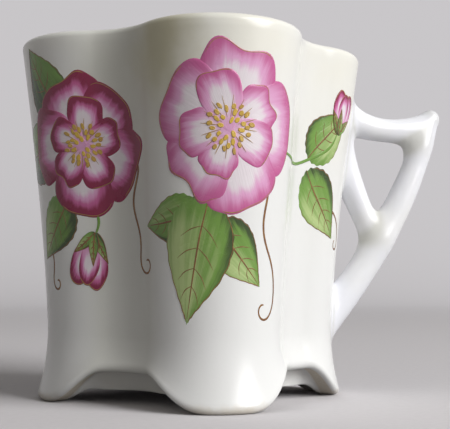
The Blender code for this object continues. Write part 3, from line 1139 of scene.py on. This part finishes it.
def body_glaze(colours, sizes):
    """White glaze that turns to cream at the lip, with bare feet and beige towards the lower edge.
    Grey-olive painted shade with a little glaze pooling darkens the valleys, most the left front one, and an
    olive-brown patch under the lip there is painted shade and brushed ground colour.
    """
    material, tree, shader = new_material("Ivory glaze")
    place = object_place(tree)
    x, y, z = separate(place)
    height = z / sizes.height
    glaze = glazed(tree, gloss=0.21, dull=0.27)
    outside = 1 - attribute(tree, "inner")

    cream = ramped(height, 0.25, 1.0) * ramped(noise(place, 38, 3.0), 0.25, 0.7)
    tone = mixed(cream, colours.white, colours.cream)
    # Painted shade with a little glaze pooling: grey-olive in the valleys, most on the left front side
    left_front_shade = ramped(-x - y, 0.020, 0.040)
    valley = ramped(attribute(tree, "valley"), 0.0, 0.6) * outside
    tone = mixed(valley * (left_front_shade * 0.55 + 0.06), tone, colours.pooled_glaze_and_shade)
    # Painted shade and brushed ground colour: an olive-brown patch under the lip in the left front valley
    squashed = combine(x, y, z * WASH_AND_SHADE_SQUASH)
    away = add("ShaderNodeVectorMath", {0: squashed, 1: WASH_AND_SHADE_MIDDLE}, "Value", operation="DISTANCE")
    blots = noise(place, 160, 3.0) * 0.006 + away
    wash_and_shade = (1 - ramped(blots, 0.004, 0.0125)) * outside
    tone = mixed(wash_and_shade * 0.65, tone, colours.wash_and_shade)
    # Beige towards the lower edge
    edge = 1 - ramped(noise(place, 420, 3.0) * 0.03 + height, 0.018, 0.045)
    tone = mixed(edge * 0.55, tone, colours.lower_edge_beige)
    tone = mixed(glaze["Specks"] * 0.3, tone, colours.speck)
    grain = ramped(noise(place, 2600), 0.3, 0.7)
    clay = mixed(grain * 0.35, colours.bisque, colours.lower_edge_beige)
    bare = attribute(tree, "bare")
    coat(shader, mixed(bare, tone, clay), lerp(bare, glaze["Roughness"], 0.8), glaze["Height"], GLAZE_RELIEF)
    return material


def handle_glaze(colours):
    """The handle's whiter glaze, a little creamy in places, and grey-olive in the fillets as painted shade
    with some glaze pooling.
    """
    material, tree, shader = new_material("White glaze")
    glaze = glazed(tree, gloss=0.16, dull=0.26)
    clouds = ramped(noise(object_place(tree), 90, 3.0), 0.35, 0.75)
    tone = mixed(clouds * 0.35, colours.handle_white, colours.cream)
    # Painted shade with some glaze pooling: grey-olive where the bars meet each other and the wall
    fillet_pool_and_shade = ramped(attribute(tree, "filled"), 0.03, 0.25)
    tone = mixed(fillet_pool_and_shade * 0.6, tone, colours.pooled_glaze_and_shade)
    tone = mixed(glaze["Specks"] * 0.4, tone, colours.speck)
    coat(shader, tone, glaze["Roughness"], glaze["Height"], GLAZE_RELIEF)
    return material


def brush_group():
    """Streaks that a loaded brush leaves along its way."""
    if "Brush strokes" in bpy.data.node_groups:
        return bpy.data.node_groups["Brush strokes"]
    group, given = shader_group("Brush strokes", ("Across", "Along", "Seed"), ("Streaks", "Hairs"))
    seed_spread = 3.7

    def hairs(count, run, detail):
        place = combine(given["Across"] * count, given["Along"] * run, given["Seed"] * seed_spread)
        return noise(place, 1.0, detail)

    streaks = ramped(hairs(5.0, 1.1, 3.0), 0.28, 0.72)
    fine = ramped(hairs(26.0, 1.6, 2.0), 0.25, 0.75)
    add_node("NodeGroupOutput", {"Streaks": streaks, "Hairs": fine})
    return group


def brushed(tree):
    """A blade's across, along and edge, its depth and shade, and the brush's streaks and hairs, by name."""
    across, along, edge = separate(attribute(tree, "stroke", "Vector"))
    depth, shade, seed = separate(attribute(tree, "tint", "Vector"))
    strokes = placed_group(tree, brush_group(), {"Across": across, "Along": along, "Seed": seed})
    return {
        "across": across, "along": along, "edge": edge, "depth": depth, "shade": shade,
        "streaks": strokes["Streaks"], "hairs": strokes["Hairs"],
    }


def enamelled(shader, tone, hairs):
    """Finish an enamel: colour, gloss and the brush's relief."""
    glaze = glazed(tone.tree, gloss=0.20, dull=0.32)
    coat(shader, tone, glaze["Roughness"], glaze["Height"] * 0.8 + hairs * 0.2, ENAMEL_RELIEF)


def petal_enamel(colours):
    """Petals that are dark at their edge and run out into pale streaks towards their foot."""
    material, tree, shader = new_material("Rose enamel")
    brush = brushed(tree)
    along, depth, streaks, hairs = (brush[label] for label in ("along", "depth", "streaks", "hairs"))
    ragged = brush["edge"] + streaks * 0.10 + hairs * 0.02
    rim = ramped(ragged, 0.32, 1.12) * ramped(along, 0.12, 0.7)
    throat = 1 - ramped(along, 0.05, 0.5)
    tone = rim * (depth * 1.40 + 0.14) + depth * 0.08 + throat * 0.30
    tone = tone + streaks * 0.07 + hairs * 0.01 + brush["shade"] * 0.10
    petal = graded(
        tone, colours.blush, (0.12, 0.46, colours.pink), (0.42, 0.84, colours.magenta),
        (0.82, 1.25, colours.crimson),
    )
    enamelled(shader, petal, hairs)
    return material


def leaf_enamel(colours):
    """Leaves with a dark half, a light half and dark edges."""
    material, tree, shader = new_material("Leaf enamel")
    brush = brushed(tree)
    tone = brush["across"] * 0.30 + brush["along"] * 0.40 + brush["streaks"] * 0.22 + brush["hairs"] * 0.08
    tone = tone + brush["shade"] * 0.85 - ramped(brush["edge"], 0.55, 1.05) * 0.30 - 0.14
    green, light = (0.10, 0.48, colours.leaf_green), (0.50, 0.98, colours.leaf_light)
    enamelled(shader, graded(tone, colours.leaf_dark, green, light), brush["hairs"])
    return material


def stamen_enamel(colours):
    """Yellow dabs that turn to brown gold outwards."""
    material, tree, shader = new_material("Stamen enamel")
    brush = brushed(tree)
    worn = brush["shade"] * 0.55 + brush["streaks"] * 0.35 + brush["edge"] * 0.15
    enamelled(shader, graded(worn, colours.stamen, (0.35, 1.0, colours.gold)), brush["hairs"])
    return material


def pen_enamel(colours):
    """Brown pen that thins to gold, and green stems."""
    material, tree, shader = new_material("Pen enamel")
    tone = attribute(tree, "tone")
    patches = noise(object_place(tree), 700)
    line = graded(tone * 1.4 + patches * 0.6, colours.gold, (0.25, 0.85, colours.pen))
    enamelled(shader, graded(tone, line, (0.7, 0.95, colours.leaf_green)), patches)
    return material


def seen(tree):
    """1 where the camera sees a surface, directly, in a gloss or through glass, and 0 for stray light."""
    rays = wires(add_node("ShaderNodeLightPath", tree=tree))
    mirrored = calc("MAXIMUM", rays["Is Glossy Ray"], rays["Is Transmission Ray"])
    return calc("MAXIMUM", rays["Is Camera Ray"], mirrored)


def times(colours, factor):
    """A colour made lighter or darker."""
    return [factor * channel for channel in colours]


def paper(colours, bounce):
    """Pale, faintly fibrous paper that throws only a share of its light back at the cup, and that fades
    into an even backdrop far from it."""
    material, tree, shader = new_material("Pale paper")
    place = object_place(tree)
    fibres = ramped(noise(place, 900, 4.0), 0.3, 0.7)
    tone = mixed(fibres * 0.5, colours, times(colours, 0.94))
    shown = seen(tree)
    near = mixed(shown, times(colours, bounce), tone)
    far = ramped(size_of(place), 0.2, 0.9) * shown
    connect(mixed(far, near, BLACK), shader.inputs["Base Color"])
    connect(mixed(far, BLACK, times(colours, BACKDROP_GLOW)), shader.inputs["Emission Color"])
    for label, value in (("Emission Strength", 1.0), ("Roughness", 0.75), ("Specular IOR Level", 0.0)):
        connect(value, shader.inputs[label])
    return material


# Operators

# Rings in front, rings behind and sectors of the blanks
PETAL_BLANK = (14, 6, 72)
LEAF_BLANK = (14, 6, 120)
STAMEN_BLANK = (4, 3, 18)

# Stage, with lengths in metres
COVE_FRONT, COVE_BACK, COVE_BEND, COVE_TOP, COVE_SIDE = -1.8, 0.45, 0.30, 1.6, 1.8
COVE_STEPS = 24
DAYLIGHT_TINT = (1.0, 0.975, 0.92)
WINDOW_TINT = (1.0, 0.995, 0.99)
WINDOW_WIDTH, WINDOW_HEIGHT = 0.95, 1.05
WINDOW_SPOT = Vector((0.79, -0.83, 0.62))
WINDOW_AIM = Vector((0.0, 0.0, 0.03))
NEAREST_SEEN = 0.01


class PieceOperator:
    """What the cup's operators share."""

    bl_options = {"REGISTER", "UNDO"}


class MakeBody(PieceOperator, bpy.types.Operator):
    """Make the lobed body with its lip, floor, feet and arches"""

    bl_idname = "espresso_cup.make_body"
    bl_label = "Cup body"

    def execute(self, context):
        settings = context.scene.espresso_cup
        outline = outline_guide(settings.body)
        profile = profile_guide(settings.body)
        values = values_of(settings.body) | {
            "Axis": AXIS_X, "Outline": outline, "Profile": profile,
            "Glaze": body_glaze(settings.glaze, settings.body),
        }
        body = grown("cup_body_glazed", body_tree(), values)
        discard(outline, profile)
        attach(body, "root")
        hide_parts("cup_body")
        return {"FINISHED"}


class MakeHandle(PieceOperator, bpy.types.Operator):
    """Make the forked handle, run softly into the wall"""

    bl_idname = "espresso_cup.make_handle"
    bl_label = "Handle"

    def execute(self, context):
        settings = context.scene.espresso_cup
        lines = handle_guide(settings.body, settings.handle)
        low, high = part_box("handle")
        room = Vector((1, 1, 1)) * HANDLE_ROOM
        shift = Vector((AXIS_X, 0, 0))
        values = values_of(settings.body) | values_of(settings.handle) | {
            "Axis": AXIS_X, "Lines": lines, "Glaze": handle_glaze(settings.glaze),
            "Low": low - shift - room, "High": high - shift + room,
        }
        handle = grown("handle_glazed", handle_tree(), values)
        discard(lines)
        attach(handle, "root")
        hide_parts("handle", "upper_slip_joint", "lower_slip_joint")
        return {"FINISHED"}


def painted(context, name, tree, given, enamel):
    """Lay some painting on the wall and tie it to the body."""
    settings = context.scene.espresso_cup
    outline = outline_guide(settings.body)
    values = values_of(settings.body) | values_of(settings.paint) | given
    values |= {"Axis": AXIS_X, "Outline": outline, "Enamel": enamel(settings.paint_colours)}
    piece = grown(name, tree, values)
    discard(outline, *given.values())
    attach(piece, "root")


def blades_painted(context, name, blades, blank, enamel):
    """Paint some blades."""
    given = {"Blades": blade_guide(name + "_feet", blades), "Blank": blank_guide(name + "_blank", *blank)}
    painted(context, name, blade_tree(), given, enamel)


class MakePetals(PieceOperator, bpy.types.Operator):
    """Paint the petals of the roses and buds"""

    bl_idname = "espresso_cup.make_petals"
    bl_label = "Petals"

    def execute(self, context):
        blades_painted(context, "rose_petals", rose_petals(), PETAL_BLANK, petal_enamel)
        return {"FINISHED"}


class MakeLeaves(PieceOperator, bpy.types.Operator):
    """Paint the leaves and sepals"""

    bl_idname = "espresso_cup.make_leaves"
    bl_label = "Leaves"

    def execute(self, context):
        blades_painted(context, "rose_leaves", rose_leaves(), LEAF_BLANK, leaf_enamel)
        return {"FINISHED"}


class MakeStamens(PieceOperator, bpy.types.Operator):
    """Paint the stamens of the open roses"""

    bl_idname = "espresso_cup.make_stamens"
    bl_label = "Stamens"

    def execute(self, context):
        blades_painted(context, "rose_stamens", rose_stamens(), STAMEN_BLANK, stamen_enamel)
        return {"FINISHED"}


class MakePenLines(PieceOperator, bpy.types.Operator):
    """Draw the stems, tendrils, veins and edges"""

    bl_idname = "espresso_cup.make_pen_lines"
    bl_label = "Pen lines"

    def execute(self, context):
        given = {
            "Petals": blade_guide("petal_feet", rose_petals()),
            "Petal lines": lines_guide("petal_lines", petal_lines()),
            "Leaves": blade_guide("leaf_feet", rose_leaves()),
            "Leaf lines": lines_guide("leaf_lines", leaf_lines()),
            "Free lines": lines_guide("free_lines", pen_strokes()),
        }
        painted(context, "pen_lines", pen_tree(), given, pen_enamel)
        return {"FINISHED"}


class MakeStage(PieceOperator, bpy.types.Operator):
    """Set the floor and backdrop, the light and the camera"""

    bl_idname = "espresso_cup.make_stage"
    bl_label = "Stage"

    def execute(self, context):
        settings = context.scene.espresso_cup.stage
        self.make_cove(context, settings)
        self.make_light(context, settings)
        self.make_camera(context, settings)
        context.scene.view_settings.view_transform = "Standard"
        return {"FINISHED"}

    def make_cove(self, context, settings):
        """A floor that curves up into a backdrop."""
        line = [(COVE_FRONT, 0.0), (COVE_BACK, 0.0)]
        for s in shares(COVE_STEPS)[1:]:
            turn = math.pi / 2 * s
            line.append((COVE_BACK + COVE_BEND * math.sin(turn), COVE_BEND * (1 - math.cos(turn))))
        line.append((COVE_BACK + COVE_BEND, COVE_TOP))
        points = [(side * COVE_SIDE, y, z) for y, z in line for side in (-1, 1)]
        faces = [(2 * i, 2 * i + 1, 2 * i + 3, 2 * i + 2) for i in range(len(line) - 1)]
        mesh = bpy.data.meshes.new("cove")
        mesh.from_pydata(points, [], faces)
        mesh.shade_smooth()
        mesh.materials.append(paper(settings.paper, settings.bounce))
        cove = bpy.data.objects.new("cove", mesh)
        context.scene.collection.objects.link(cove)

    def make_light(self, context, settings):
        """Even light from all around, which the camera sees as paper, and a wide window to the right."""
        world = bpy.data.worlds.new("Even light")
        context.scene.world = world
        world.use_nodes = True
        shown = seen(world.node_tree)
        background = world.node_tree.nodes["Background"].inputs
        connect(mixed(shown, DAYLIGHT_TINT, settings.paper), background["Color"])
        connect(lerp(shown, settings.daylight, BACKDROP_GLOW), background["Strength"])
        window = bpy.data.lights.new("window", "AREA")
        window.shape = "ELLIPSE"
        window.size, window.size_y = WINDOW_WIDTH, WINDOW_HEIGHT
        window.energy = settings.window_power
        window.color = WINDOW_TINT
        lamp = bpy.data.objects.new("window", window)
        turned = (WINDOW_AIM - WINDOW_SPOT).to_track_quat("-Z", "Y").to_matrix().to_4x4()
        lamp.matrix_world = Matrix.Translation(WINDOW_SPOT) @ turned
        context.scene.collection.objects.link(lamp)

    def make_camera(self, context, settings):
        """The photograph's camera."""
        rise, turn = settings.elevation, settings.azimuth
        ahead = Vector((-math.sin(turn) * math.cos(rise), math.cos(turn) * math.cos(rise), -math.sin(rise)))
        spot = Vector(settings.target) + Vector((AXIS_X, 0, 0)) - ahead * settings.distance
        turned = ahead.to_track_quat("-Z", "Y").to_matrix().to_4x4()
        data = bpy.data.cameras.new("camera")
        data.sensor_width = SENSOR_WIDTH
        data.lens = settings.focal_pixels * SENSOR_WIDTH / PHOTO_WIDTH
        data.clip_start = NEAREST_SEEN
        camera = bpy.data.objects.new("camera", data)
        camera.matrix_world = Matrix.Translation(spot) @ turned @ Matrix.Rotation(settings.roll, 4, "Z")
        context.scene.collection.objects.link(camera)
        context.scene.camera = camera


class CupPanel(bpy.types.Panel):
    """Lists the cup's pieces"""

    bl_idname = "ESPRESSO_CUP_PT_pieces"
    bl_label = "Espresso cup"
    bl_space_type = "VIEW_3D"
    bl_region_type = "UI"
    bl_category = "Espresso cup"

    def draw(self, context):
        for operator in OPERATORS:
            self.layout.operator(operator.bl_idname)


SETTINGS = (BodySizes, HandleSizes, GlazeColours, PaintSizes, PaintColours, StageSizes, CupSettings)
OPERATORS = (MakeBody, MakeHandle, MakePetals, MakeLeaves, MakeStamens, MakePenLines, MakeStage)


def register():
    for kind in (*SETTINGS, *OPERATORS, CupPanel):
        bpy.utils.register_class(kind)
    bpy.types.Scene.espresso_cup = PointerProperty(type=CupSettings)


def unregister():
    del bpy.types.Scene.espresso_cup
    for kind in (CupPanel, *reversed(OPERATORS), *reversed(SETTINGS)):
        bpy.utils.unregister_class(kind)


def main():
    register()
    bpy.ops.espresso_cup.make_body()
    bpy.ops.espresso_cup.make_handle()
    bpy.ops.espresso_cup.make_petals()
    bpy.ops.espresso_cup.make_leaves()
    bpy.ops.espresso_cup.make_stamens()
    bpy.ops.espresso_cup.make_pen_lines()
    bpy.ops.espresso_cup.make_stage()


if __name__ == "__main__":
    main()
